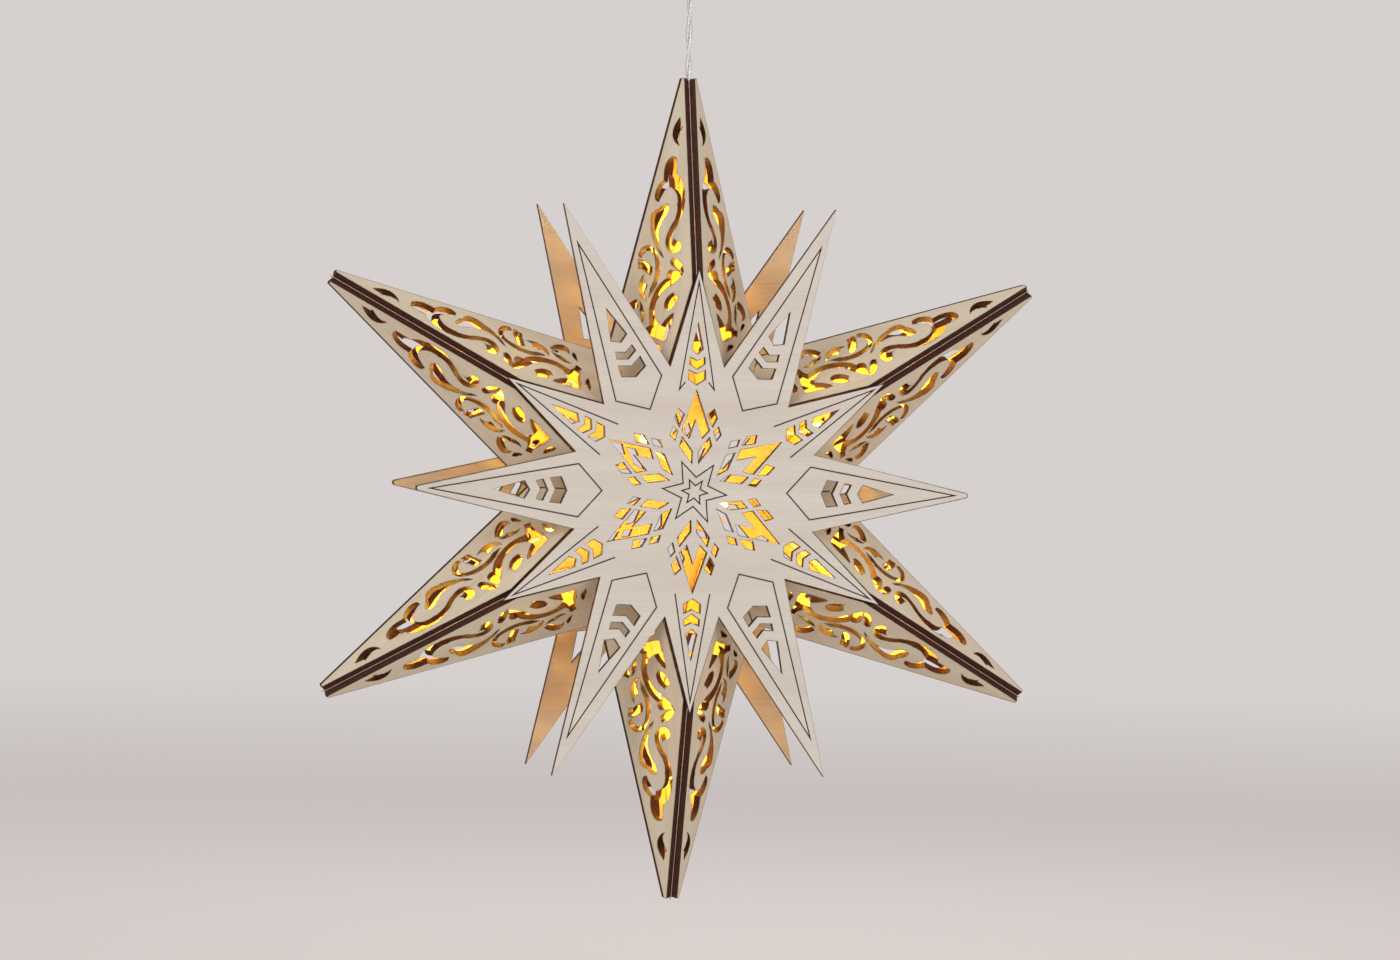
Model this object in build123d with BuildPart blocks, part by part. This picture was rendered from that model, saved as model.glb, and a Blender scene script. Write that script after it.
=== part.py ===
"""A six-pointed plywood star lantern with two snowflake plates, lit from inside.

Twenty-four pierced plywood panels make a hollow star. A pierced and engraved snowflake
plate is glued on the front and another on the back. A string of warm LEDs lies inside.
The star hangs by its twisted two-wire lead from a small battery box with an eye.

Frame: millimetres, +Z up, front of the star towards -Y. The origin is the centre of the
hanging eye's hole.
"""

import os
from math import cos, radians, sin, tan

from build123d import *

os.makedirs("parts", exist_ok=True)

# ---- driving dimensions -------------------------------------------------------------
PLY = 3.6  # plywood thickness
SEAM_GAP = 0.2  # what the glue fills between two panels' inner corners
SPIKE_ANGLES = {
    "top": 90,
    "upper_right": 30,
    "lower_right": -30,
    "bottom": -90,
    "lower_left": -150,
    "upper_left": 150,
}
VALLEY_HALF_ANGLE = 180 / len(SPIKE_ANGLES)  # from a spike's axis to the valley beside it
TIP_RADIUS = 215.0  # star centre to a spike's cut-off tip
TIP_HALF_WIDTH = 6.0  # of the sharp-edged outline, at the tip
NOTCH_RADIUS = 84.0  # of the sharp-edged outline, where two spikes meet
RIDGE_END_RADIUS = 118.0  # where a ridge stops, towards the centre
RIDGE_END_DEPTH = 36.0  # height of the sharp ridge there, above the star's mid-plane
VALLEY_END_RADIUS = 44.5  # where a valley stops, under the snowflake
GLUE_WIDTH = 0.9  # of the bead that shows in a ridge's groove

PLATE_SMALL_TIP = 115.0  # snowflake arms over the spikes
PLATE_NOTCH_RADIUS = 66.3
PLATE_NOTCH_ANGLE = 12.4  # each side of a small arm
PLATE_SIDE_TIP = 151.5  # the two level arms, before their tips are rounded
PLATE_SIDE_ROUND = 1.5
PLATE_LONG_TIP = 164.5  # the four steep arms
PLATE_LONG_LEAN = 4.0  # degrees that a steep arm leans towards upright
ENGRAVED_WIDTH = 0.6
ENGRAVED_DEPTH = 0.4

LEAD_DIAMETER = 3.4  # over both twisted wires
LEAD_FREE = 54.0  # from the star's tip to the strain relief
TIP_HOLE_DIAMETER = 4.4  # through the top spike's tip, for the lead
KNOT_DIAMETER = 8.0
KNOT_CLEARANCE = 0.3
STRING_DIAMETER = 1.6  # the LED string's wire
LED_DIAMETER = 5.0
LED_LENGTH = 8.0
SLEEVE_DIAMETER = 4.0
SLEEVE_LENGTH = 9.0

EYE_HOLE_DIAMETER = 5.0
EYE_RIM = 3.5
EYE_THICKNESS = 3.0
EYE_TO_BOX = 8.0
EYE_FLARE = 2.0  # how much wider than its top the eye is at the box, each side
BOX_WIDTH = 52.0
BOX_HEIGHT = 72.0
BOX_DEPTH = 21.0
BOX_WALL = 1.6
BOX_CORNER = 2.5
RELIEF_LENGTH = 10.0
RELIEF_TOP_DIAMETER = 9.0
RELIEF_END_DIAMETER = 5.0
COVER_THICKNESS = 1.8
COVER_LIP = 2.0  # how far the box's front lips reach over the cover
LIP_THICKNESS = 1.0
COVER_CLEARANCE = 0.15
CELL_DIAMETER = 14.5
CELL_LENGTH = 50.5
CELL_PITCH = 15.4
CELL_FLOOR = 3.2  # from the box's inner floor up to the cells
CELL_HEADROOM = 1.6  # from the cells up to the shelf over them
NUB_DIAMETER = 5.4
NUB_LENGTH = 1.4
SPRING_WIDE = 9.0
SPRING_NARROW = 5.2
SPRING_WIRE = 0.6
CONTACT_SIZE = (11.0, 9.0)
CONTACT_THICKNESS = 0.4
RIB_COUNT = 5
RIB_PITCH = 3.0
RIB_START = 6.0  # from the cover's lower end to the first rib
RIB_SIZE = (22.0, 1.2)
RIB_ROUND = 0.5
SWITCH_TRAVEL = 3.0
KNOB_LENGTH = 5.0
KNOB_WIDTH = 3.0
KNOB_PROUD = 1.6
KNOB_ROUND = 0.5
KNOB_CLEARANCE = 0.3  # all round the knob, in its slot
SWITCH_SIZE = (5.0, 7.0, 11.0)
SWITCH_GAP = 1.7  # from the switch's body to the box's wall
SWITCH_INSET = 5.0  # from the box's back wall to the switch's middle
KNOB_SEAT = 0.05  # from the switch's body to the knob
RESISTOR_DIAMETER = 2.4
RESISTOR_LENGTH = 6.3
RESISTOR_START = -8.0

# ---- places worked out from them ----------------------------------------------------
BOX_TOP = -EYE_TO_BOX
BOX_FLOOR = BOX_TOP - BOX_HEIGHT
RELIEF_END = BOX_FLOOR - RELIEF_LENGTH
STAR_TIP = RELIEF_END - LEAD_FREE
STAR_CENTRE = Vector(0, 0, STAR_TIP - TIP_RADIUS)

# A spike's own frame is (radius, width, depth): out along its axis, sideways from the
# axis, and up from the star's mid-plane.
notch = Vector(
    NOTCH_RADIUS * cos(radians(VALLEY_HALF_ANGLE)),
    NOTCH_RADIUS * sin(radians(VALLEY_HALF_ANGLE)),
    0,
)
side_point = Vector(TIP_RADIUS, TIP_HALF_WIDTH, 0)
edge_slope = (notch.Y - side_point.Y) / (side_point.X - notch.X)
ridge_end = Vector(RIDGE_END_RADIUS, 0, RIDGE_END_DEPTH)
normal = (side_point - notch).cross(ridge_end - notch).normalized()
if normal.Z < 0:
    normal = normal * -1
sharp_apex = Vector(TIP_RADIUS + TIP_HALF_WIDTH / edge_slope, 0, 0)
along = (sharp_apex - ridge_end).normalized()
across = normal.cross(along).normalized()


def on_plane(radius, width):
    """The panel plane's point over a place in the mid-plane, in the spike's frame."""
    depth = (normal.dot(ridge_end) - normal.X * radius - normal.Y * width) / normal.Z
    return Vector(radius, width, depth)


def in_panel(point):
    """A point of the panel's plane as (along the ridge, across from the ridge)."""
    return (point - ridge_end).dot(along), (point - ridge_end).dot(across)


def trace_of(mirror, through, setback):
    """The line (a, b, c), a*u + b*v = c, that lies setback inside a plane of symmetry."""
    offset = mirror.dot(through - ridge_end) + setback
    return mirror.dot(along), mirror.dot(across), offset


def meet(first, second):
    """Where two such lines cross, as (u, v)."""
    a, b, c = first
    d, e, f = second
    return (c * e - b * f) / (a * e - b * d), (a * f - c * d) / (a * e - b * d)


def setback(mirror):
    """How far an upright-cut panel's outer corner stays from its plane of symmetry."""
    return max(PLY * normal.dot(mirror), 0) + SEAM_GAP / 2


valley_side = Vector(sin(radians(VALLEY_HALF_ANGLE)), -cos(radians(VALLEY_HALF_ANGLE)), 0)
ridge_side = Vector(0, 1, 0)
front_side = Vector(0, 0, 1)
ridge_cut = trace_of(ridge_side, ridge_end, setback(ridge_side))
side_cut = trace_of(front_side, side_point, setback(front_side))
valley_cut = trace_of(valley_side, Vector(0, 0, 0), setback(valley_side))
tip_cut = trace_of(Vector(-1, 0, 0), side_point, 0)
valley_end = in_panel(
    on_plane(
        VALLEY_END_RADIUS * cos(radians(VALLEY_HALF_ANGLE)),
        VALLEY_END_RADIUS * sin(radians(VALLEY_HALF_ANGLE)),
    )
)
inner_cut = (valley_end[1], -valley_end[0], 0)
panel_corners = [
    meet(ridge_cut, tip_cut),
    meet(tip_cut, side_cut),
    meet(side_cut, valley_cut),
    meet(valley_cut, inner_cut),
    meet(inner_cut, ridge_cut),
]

# The snowflakes' small arms rest on the cut edges beside the ridges' ends. An arm's edges
# close in by arm_slope, and a cut edge runs inwards along the panel's normal.
top_corner = ridge_end + along * panel_corners[4][0] + across * panel_corners[4][1]
arm_foot = PLATE_NOTCH_RADIUS * cos(radians(PLATE_NOTCH_ANGLE))
arm_slope = PLATE_NOTCH_RADIUS * sin(radians(PLATE_NOTCH_ANGLE)) / (PLATE_SMALL_TIP - arm_foot)
overhang = top_corner.Y - max(PLATE_SMALL_TIP - top_corner.X, 0) * arm_slope
PLATE_BACK = top_corner.Z - normal.Z * max(overhang, 0) / (normal.Y + normal.X * arm_slope)
# The panels' inner planes come together here, on the spike's axis.
inner_apex = sharp_apex.X - PLY / normal.X
knot_radius = inner_apex - (KNOT_DIAMETER / 2 + KNOT_CLEARANCE) / normal.X
KNOT_CENTRE = STAR_CENTRE + Vector(0, 0, knot_radius)

# ---- the scroll pattern of a panel --------------------------------------------------
# Each opening is a ring of strokes. A stroke of two points is straight, and a longer one
# is a smooth curve. The points are (along the ridge from its end, across from the ridge).
TIP_LEAF = [
    [(66.3, 9.1), (69.5, 12.3), (73.5, 13.3), (78, 11.6), (81.5, 8.2)],
    [(81.5, 8.2), (79, 7.7), (76.3, 8.2)],
    [(76.3, 8.2), (76, 6.8)],
    [(76, 6.8), (73, 8.9), (70, 9.9), (66.3, 9.1)],
]
SCROLL = [
    [(49.5, 20), (54, 19.8), (58.5, 18.2), (61.3, 14.8), (60.2, 11.7)],
    [(60.2, 11.7), (55.5, 11.5), (51.4, 11.9)],
    [(51.4, 11.9), (48.5, 9.2), (43.5, 7.6), (38, 7.2), (32.5, 7.8), (27.5, 10.1),
     (22.5, 14), (17.5, 17.2), (13.8, 17)],
    [(13.8, 17), (15.2, 16.2), (17.4, 15.3)],
    [(17.4, 15.3), (15.4, 13.4), (14.4, 11.8), (12.3, 11), (10.3, 11.8), (9.2, 14.5),
     (9.8, 17.2), (12, 19.6), (15.5, 20.7), (19, 20), (22.5, 17.7), (26.3, 14.6),
     (30.5, 12.5), (35.5, 11.7), (40, 12), (43.2, 13.7), (45, 16), (45, 18), (43.6, 20),
     (41.3, 22.2), (39, 23.8)],
    [(39, 23.8), (39.9, 25.7), (42.7, 26.3), (46.4, 24.9), (48.8, 22.4), (49.5, 20)],
]
LONG_LEAF = [
    [(7.7, 22.3), (11.5, 24.7), (16, 27), (21.3, 28.7), (26.8, 29.8), (31.2, 29.7),
     (34.3, 27.7), (35, 24.6), (36.6, 21), (36.2, 18.3)],
    [(36.2, 18.3), (33.6, 17.7), (31.2, 19), (28.8, 21.4), (25.8, 23.6), (22.4, 25),
     (18.9, 25.2), (14.8, 24.6), (11, 23.4), (7.7, 22.3)],
]
WAVE = [
    [(-11.4, 32.9), (-7.8, 32), (-3.6, 29.6), (0.8, 28.1), (6, 27.7), (10.3, 28.3),
     (13, 30), (13.9, 32.4), (12.9, 34.8), (11, 36.6)],
    [(11, 36.6), (13.2, 38.4), (15.6, 37), (16.8, 33.8), (16.3, 30.6), (14.4, 28.2),
     (11, 26.3), (6, 25), (0.6, 25.1), (-4.2, 26.8), (-8, 29.3), (-11.4, 32.9)],
]
FLAME = [
    [(0.4, 30.9), (2.5, 33.5), (4.4, 36.3), (6, 38.8)],
    [(6, 38.8), (7.2, 38.9), (7.9, 38.1)],
    [(7.9, 38.1), (9, 38.9), (10.4, 38.7)],
    [(10.4, 38.7), (9.2, 35.6), (6.9, 32.7), (4.3, 30)],
    [(4.3, 30), (2.4, 29.7), (0.4, 30.9)],
]
CRESCENT = [
    [(-12.8, 34), (-11.4, 36.6), (-8, 38.6), (-3.4, 38.9), (-0.4, 37.5), (1.6, 35.6)],
    [(1.6, 35.6), (-0.6, 35.9), (-3.2, 35.3)],
    [(-3.2, 35.3), (-4.6, 33.5)],
    [(-4.6, 33.5), (-7.4, 35.5)],
    [(-7.4, 35.5), (-10, 35.4), (-12.8, 34)],
]
STEM = [
    [(-30.6, 38.4), (-27.4, 39)],
    [(-27.4, 39), (-27.4, 36), (-26.6, 32.7)],
    [(-26.6, 32.7), (-21.5, 33.1), (-17, 32.7), (-13.1, 31.3), (-9.3, 29.1),
     (-5.9, 25.9), (-4, 22.6), (-3.5, 20.4)],
    [(-3.5, 20.4), (-1.6, 20.7), (0.4, 19), (-0.2, 15.8), (-1.8, 12.2)],
    [(-1.8, 12.2), (0.6, 14.6), (3, 17.2), (5.2, 18.1), (6.7, 16.8)],
    [(6.7, 16.8), (5.4, 14), (3.2, 11.7), (0.4, 10.1), (-2, 9.7)],
    [(-2, 9.7), (-4.4, 11.6), (-6, 14.7), (-7.6, 18.4), (-9.3, 22.5), (-12.2, 26.2),
     (-16.6, 28.8), (-21.5, 29.6), (-25.4, 28.2), (-28.3, 25.3)],
    [(-28.3, 25.3), (-26.3, 23.8), (-24.3, 21), (-23, 17.2)],
    [(-23, 17.2), (-27.2, 18.6), (-31.5, 20.4), (-36.6, 22.8)],
    [(-36.6, 22.8), (-35.3, 27), (-32.6, 32), (-30.9, 36), (-30.6, 38.4)],
]
DROP = [
    [(-20.6, 21.4), (-18.8, 23.1), (-16, 22.7), (-13.2, 20.3), (-11.9, 17.1)],
    [(-11.9, 17.1), (-13.9, 15.4), (-14.9, 13.8)],
    [(-14.9, 13.8), (-17.4, 15.4), (-19.5, 17.6), (-20.6, 21.4)],
]
PETAL = [
    [(-20.5, 44.4), (-19.2, 47.2), (-16.4, 48.6), (-13.2, 46.9), (-11.2, 43.6),
     (-10.8, 40.8)],
    [(-10.8, 40.8), (-13, 40), (-15.2, 40)],
    [(-15.2, 40), (-15.4, 42), (-16.8, 44), (-18.6, 44.9), (-20.5, 44.4)],
]
LOW_PETAL = [
    [(-24.6, 38.3), (-20.5, 38.2), (-17.4, 38.9)],
    [(-17.4, 38.9), (-14.8, 38.4), (-12.4, 38.7)],
    [(-12.4, 38.7), (-14.6, 37.2), (-17.6, 36.4), (-21.5, 36.3), (-24.6, 38.3)],
]
BUD = [
    [(-26.5, 42.4), (-24.7, 45), (-22, 47.3)],
    [(-22, 47.3), (-21.9, 45.4), (-24, 43.2), (-26.5, 42.4)],
]
SLIP = [
    [(-41.3, 26.3), (-39.6, 29.9), (-36.4, 34.2)],
    [(-36.4, 34.2), (-36.6, 30.6), (-38.6, 27.4), (-41.3, 26.3)],
]
PATTERN = [TIP_LEAF, SCROLL, LONG_LEAF, WAVE, FLAME, CRESCENT, STEM, DROP, PETAL,
           LOW_PETAL, BUD, SLIP]


# The pattern and its mirror image, drawn once and set into every panel.
patterns = {}
for hand in (1, -1):
    with BuildSketch() as scrolls:
        for ring in PATTERN:
            with BuildLine():
                for stroke in ring:
                    points = [(u, hand * v) for u, v in stroke]
                    if len(points) == 2:
                        Line(*points)
                    else:
                        Spline(*points)
            make_face()
    patterns[hand] = scrolls.sketch


def to_world(angle, side, face, point):
    """A spike-frame direction in the model's frame, for one side and face of a spike."""
    out = Vector(cos(radians(angle)), 0, sin(radians(angle)))
    sideways = Vector(-sin(radians(angle)), 0, cos(radians(angle)))
    return out * point.X + sideways * (side * point.Y) + Vector(0, -face, 0) * point.Z


# ---- the 24 panels ------------------------------------------------------------------
FACES = {"front": 1, "back": -1}
SIDES = {"left": 1, "right": -1}
for spike, angle in SPIKE_ANGLES.items():
    for face_name, face in FACES.items():
        for side_name, side in SIDES.items():
            plane = Plane(
                origin=STAR_CENTRE + to_world(angle, side, face, ridge_end),
                x_dir=to_world(angle, side, face, along),
                z_dir=to_world(angle, side, face, normal),
            )
            hand = 1 if plane.y_dir.dot(to_world(angle, side, face, across)) > 0 else -1
            with BuildPart() as panel:
                with BuildSketch(plane):
                    with BuildLine():
                        Polyline([(u, hand * v) for u, v in panel_corners], close=True)
                    make_face()
                    add(patterns[hand], mode=Mode.SUBTRACT)
                extrude(amount=-PLY)
                if spike == "top":
                    with BuildSketch(Plane.XY.offset(KNOT_CENTRE.Z)):
                        Circle(TIP_HOLE_DIAMETER / 2)
                    extrude(amount=TIP_RADIUS, mode=Mode.SUBTRACT)
            panel.part.label = f"panel_{spike}_{face_name}_{side_name}"
            export_step(panel.part, f"parts/{panel.part.label}.step")

# ---- glue beads in the ridge grooves ------------------------------------------------
bead_start = panel_corners[4][0]
bead_end = panel_corners[0][0]
with BuildPart() as ridge_glue:
    for angle in SPIKE_ANGLES.values():
        for face in FACES.values():
            bottom = ridge_end - Vector(0, 0, PLY / normal.Z)
            start = STAR_CENTRE + to_world(angle, 1, face, bottom + along * bead_start)
            direction = to_world(angle, 1, face, along)
            upward = to_world(angle, 1, face, Vector(along.Z * -1, 0, along.X))
            with BuildSketch(Plane(origin=start, x_dir=upward, z_dir=direction)):
                Rectangle(GLUE_WIDTH, SEAM_GAP)
            extrude(amount=bead_end - bead_start)
    # the lead's hole also cuts the top spike's beads
    with BuildSketch(Plane.XY.offset(KNOT_CENTRE.Z)):
        Circle(TIP_HOLE_DIAMETER / 2)
    extrude(amount=TIP_RADIUS, mode=Mode.SUBTRACT)
ridge_glue.part.label = "ridge_glue"
export_step(ridge_glue.part, "parts/ridge_glue.step")

# ---- the two snowflake plates -------------------------------------------------------
LARGE_ANGLES = [angle + VALLEY_HALF_ANGLE for angle in SPIKE_ANGLES.values()]
KITE_INNER_RADIUS = 49.0
KITE_SHOULDER_RADIUS = 63.0
KITE_SHOULDER_ANGLE = 12.6
KITE_END_RADIUS = 143.0
KITE_SIDE_END_RADIUS = 139.0
KITE_LEAN = 3.2
VEE_END_RADIUS = 109.0
VEE_FOOT = (53.0, 9.2)
BARB_END = (56.8, 6.2)

# Openings of an arm or of the rosette, as (out from the centre, sideways).
ARM_OPENINGS = [
    [(67.5, 0), (70.5, 6.8), (76.3, 6.3), (73.3, 0), (76.3, -6.3), (70.5, -6.8)],
    [(77.5, 0), (80, 5.4), (83.5, 4.7), (81, 0), (83.5, -4.7), (80, -5.4)],
    [(87, 0), (89.7, 4.5), (106.3, 0), (89.7, -4.5)],
]
SMALL_ARM_OPENINGS = [
    [(55.6, 0), (58.4, 4.4), (63.2, 4.4), (61, 0), (63.2, -4.4), (58.4, -4.4)],
    [(63.6, 0), (66.4, 4), (69.8, 3.9), (67.8, 0), (69.8, -3.9), (66.4, -4)],
    [(71.4, 0), (74, 2.9), (88, 0), (74, -2.9)],
]
ARROW = [(53, 0), (31.8, 7.2), (27.6, 3.5), (37.6, 0), (27.6, -3.5), (31.8, -7.2)]
RHOMBUS = [(14.4, 1.6), (23.8, 8.4), (28.6, 7.3), (20.8, 1.6)]
UPPER_CHIP = [(43.2, 9.6), (38.1, 11.2), (33.5, 8.8), (40.1, 6.3)]
LOWER_CHIP = [(33.9, 12), (29.5, 13.4), (26.5, 11), (31.3, 9.7)]
STAR_ROUND = [(17.0, 7.6), (6.8, 3.2)]  # engraved stars: point radius, notch radius
STAR_TURN = -5.0


def polar(radius, angle):
    """A plate point from its radius and its angle in degrees."""
    return radius * cos(radians(angle)), radius * sin(radians(angle))


def turned(points, angle):
    """Points given as (out, sideways), turned so that out is at that angle."""
    c, s = cos(radians(angle)), sin(radians(angle))
    return [(c * x - s * y, s * x + c * y) for x, y in points]


def is_level(angle):
    """Whether a large arm is one of the two level ones."""
    return abs(sin(radians(angle))) < 0.1


def lean_of(angle, lean):
    """The angle that a large arm points at, given how far steep arms lean upright."""
    if is_level(angle):
        return angle
    rising = sin(radians(angle)) * cos(radians(angle)) > 0
    return angle + (lean if rising else -lean)


def kite_end(angle):
    """How far out a large arm's kite reaches."""
    return KITE_SIDE_END_RADIUS if is_level(angle) else KITE_END_RADIUS


def kite_axis(angle):
    """(start, heading in degrees) of the line that a large arm's openings lie on."""
    start = Vector(*polar(KITE_INNER_RADIUS, angle))
    end = Vector(*polar(kite_end(angle), lean_of(angle, KITE_LEAN)))
    return start, Vector(1, 0).get_signed_angle(end - start, Vector(0, 0, 1))


plate_outline = []
for angle in sorted(SPIKE_ANGLES.values()):
    plate_outline.append(polar(PLATE_NOTCH_RADIUS, angle - PLATE_NOTCH_ANGLE))
    plate_outline.append(polar(PLATE_SMALL_TIP, angle))
    plate_outline.append(polar(PLATE_NOTCH_RADIUS, angle + PLATE_NOTCH_ANGLE))
    large = angle + VALLEY_HALF_ANGLE
    radius = PLATE_SIDE_TIP if is_level(large) else PLATE_LONG_TIP
    plate_outline.append(polar(radius, lean_of(large, PLATE_LONG_LEAN)))

with BuildSketch() as plate_shape:
    with BuildLine():
        Polyline(plate_outline, close=True)
    make_face()
    level_tips = plate_shape.vertices().sort_by(Axis.X)
    fillet([level_tips[0], level_tips[-1]], PLATE_SIDE_ROUND)
    for angle in SPIKE_ANGLES.values():
        for opening in SMALL_ARM_OPENINGS + [ARROW]:
            with BuildLine():
                Polyline(turned(opening, angle), close=True)
            make_face(mode=Mode.SUBTRACT)
        for chip in (RHOMBUS, UPPER_CHIP, LOWER_CHIP):
            for flip in (1, -1):
                with BuildLine():
                    Polyline(turned([(x, flip * y) for x, y in chip], angle), close=True)
                make_face(mode=Mode.SUBTRACT)
    for angle in LARGE_ANGLES:
        start, heading = kite_axis(angle)
        for opening in ARM_OPENINGS:
            ring = turned([(x - KITE_INNER_RADIUS, y) for x, y in opening], heading)
            with BuildLine():
                Polyline([(start.X + x, start.Y + y) for x, y in ring], close=True)
            make_face(mode=Mode.SUBTRACT)

with BuildSketch() as engraving:
    with BuildLine():
        for angle in LARGE_ANGLES:
            Polyline(
                polar(KITE_INNER_RADIUS, angle),
                polar(KITE_SHOULDER_RADIUS, angle + KITE_SHOULDER_ANGLE),
                polar(kite_end(angle), lean_of(angle, KITE_LEAN)),
                polar(KITE_SHOULDER_RADIUS, angle - KITE_SHOULDER_ANGLE),
                close=True,
            )
        for spike, angle in SPIKE_ANGLES.items():
            for flip in (1, -1):
                foot = (VEE_FOOT[0], flip * VEE_FOOT[1])
                barb = (BARB_END[0], flip * BARB_END[1])
                vee = turned([(VEE_END_RADIUS, 0), foot, barb], angle)
                Polyline(*(vee if spike == "top" else vee[:2]))
        for point_radius, notch_radius in STAR_ROUND:
            ring = []
            for i in range(len(SPIKE_ANGLES)):
                angle = STAR_TURN + 2 * VALLEY_HALF_ANGLE * i
                ring.append(polar(point_radius, angle))
                ring.append(polar(notch_radius, angle + VALLEY_HALF_ANGLE))
            Polyline(ring, close=True)
    trace(line_width=ENGRAVED_WIDTH)

for face_name, face in FACES.items():
    back = STAR_CENTRE + Vector(0, -face * PLATE_BACK, 0)
    back_plane = Plane(origin=back, x_dir=(1, 0, 0), z_dir=(0, -1, 0))
    with BuildPart() as snowflake:
        with BuildSketch(back_plane):
            add(plate_shape.sketch)
        extrude(amount=face * PLY)
        with BuildSketch(back_plane.offset(face * PLY)):
            add(engraving.sketch)
        extrude(amount=-face * ENGRAVED_DEPTH, mode=Mode.SUBTRACT)
    snowflake.part.label = f"snowflake_{face_name}"
    export_step(snowflake.part, f"parts/{snowflake.part.label}.step")

# ---- the LED string inside the star -------------------------------------------------
# The wire's route from the lead's knot, from the star's centre. An LED sits halfway
# along each run named in LED_RUNS.
STRING_ROUTE = [
    (0, 0, knot_radius - KNOT_DIAMETER / 2 - KNOT_CLEARANCE),
    (3, 2, 164),
    (3, -2, 130),
    (7, -3, 90),
    (14, 2, 62),
    (34, 4, 44),
    (58, -1, 28),
    (86, -3, 40),
    (95, 0, 29),
    (70, 3, 10),
    (54, 2, -4),
    (54, -1, -22),
    (70, -3, -36),
    (99, -3, -50),
    (100, 0, -64),
    (74, 3, -66),
    (50, 4, -58),
    (26, 3, -62),
    (12, -2, -82),
    (8, -3, -106),
    (6, -2, -130),
    (5, -3, -150),
    (-7, 0, -154),
    (-9, 3, -132),
    (-7, 3, -104),
    (-18, 4, -78),
    (-40, 3, -60),
    (-64, -1, -52),
    (-82, -3, -46),
    (-84, -3, -32),
    (-58, -3, -16),
    (-50, 1, 4),
    (-56, 2, 24),
    (-76, 1, 38),
    (-106, -2, 52),
    (-107, 1, 67),
    (-82, 3, 68),
    (-54, 3, 54),
    (-30, 0, 36),
    (-10, -3, 16),
    (14, -1, 2),
    (30, -3, -18),
]
LED_RUNS = [2, 6, 12, 19, 29, 33, 38, 40]
BEND_SHARE = 0.45  # of a corner's shorter run
LED_BEND_SHARE = 0.3  # beside an LED, whose part of the wire is straight


def bend_radii(points):
    """A bend radius for each inner corner, as large as its two runs allow."""
    radii = []
    for i in range(1, len(points) - 1):
        before, after = points[i] - points[i - 1], points[i + 1] - points[i]
        share = LED_BEND_SHARE if {i - 1, i} & set(LED_RUNS) else BEND_SHARE
        run = min(before.length, after.length)
        radii.append(share * run / tan(radians(before.get_angle(after) / 2)))
    return radii


string_points = [STAR_CENTRE + Vector(*point) for point in STRING_ROUTE]
string_radii = bend_radii(string_points)
print("LED string bends (mm):", [round(radius, 1) for radius in string_radii])
with BuildPart() as led_wire:
    with BuildLine():
        FilletPolyline(*string_points, radius=string_radii)
    first_run = string_points[1] - string_points[0]
    with BuildSketch(Plane(origin=string_points[0], z_dir=first_run)):
        Circle(STRING_DIAMETER / 2)
    sweep()
led_wire.part.label = "led_wire"
export_step(led_wire.part, "parts/led_wire.step")

led_planes = []
for run in LED_RUNS:
    start, end = string_points[run], string_points[run + 1]
    run_direction = (end - start).normalized()
    facing = Vector(0, -1, 0) - run_direction * Vector(0, -1, 0).dot(run_direction)
    led_planes.append(
        Plane(origin=(start + end) * 0.5, x_dir=run_direction, z_dir=facing.normalized())
    )

with BuildPart() as led_sleeves:
    for plane in led_planes:
        sleeve_start = plane.origin - plane.x_dir * (SLEEVE_LENGTH / 2)
        with BuildSketch(Plane(origin=sleeve_start, z_dir=plane.x_dir)):
            Circle(SLEEVE_DIAMETER / 2)
            Circle(STRING_DIAMETER / 2, mode=Mode.SUBTRACT)
        extrude(amount=SLEEVE_LENGTH)
led_sleeves.part.label = "led_sleeves"
export_step(led_sleeves.part, "parts/led_sleeves.step")

led_straight = LED_LENGTH - LED_DIAMETER / 2
with BuildPart() as led_bulbs:
    for plane in led_planes:
        with BuildSketch(plane.offset(SLEEVE_DIAMETER / 2)):
            Circle(LED_DIAMETER / 2)
        extrude(amount=led_straight)
        with Locations(plane.offset(SLEEVE_DIAMETER / 2 + led_straight)):
            Sphere(LED_DIAMETER / 2)
led_bulbs.part.label = "led_bulbs"
export_step(led_bulbs.part, "parts/led_bulbs.step")

# ---- the lead and its knot ----------------------------------------------------------
KNOT_TOP = KNOT_CENTRE.Z + KNOT_DIAMETER / 2
with BuildPart() as lead:
    with BuildSketch(Plane.XY.offset(KNOT_TOP)):
        Circle(LEAD_DIAMETER / 2)
    extrude(amount=RELIEF_END - KNOT_TOP)
lead.part.label = "lead"
export_step(lead.part, "parts/lead.step")

with BuildPart() as lead_knot:
    with BuildSketch(Plane.XZ):
        with BuildLine():
            knot_arc = CenterArc((0, KNOT_CENTRE.Z), KNOT_DIAMETER / 2, -90, 180)
            Line(knot_arc @ 1, knot_arc @ 0)
        make_face()
    revolve(axis=Axis.Z)
lead_knot.part.label = "lead_knot"
export_step(lead_knot.part, "parts/lead_knot.step")

# ---- the battery box ----------------------------------------------------------------
box_centre = (BOX_TOP + BOX_FLOOR) / 2
inner_width = BOX_WIDTH - 2 * BOX_WALL
front = -BOX_DEPTH / 2
lip_back = front + LIP_THICKNESS
slot_back = lip_back + COVER_THICKNESS + 2 * COVER_CLEARANCE
cell_floor = BOX_FLOOR + BOX_WALL + CELL_FLOOR
shelf = cell_floor + CELL_LENGTH + CELL_HEADROOM
switch_centre = (shelf + BOX_WALL + BOX_TOP - BOX_WALL) / 2
switch_y = BOX_DEPTH / 2 - BOX_WALL - SWITCH_INSET
cavity_depth = BOX_DEPTH / 2 - BOX_WALL - lip_back

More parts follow.
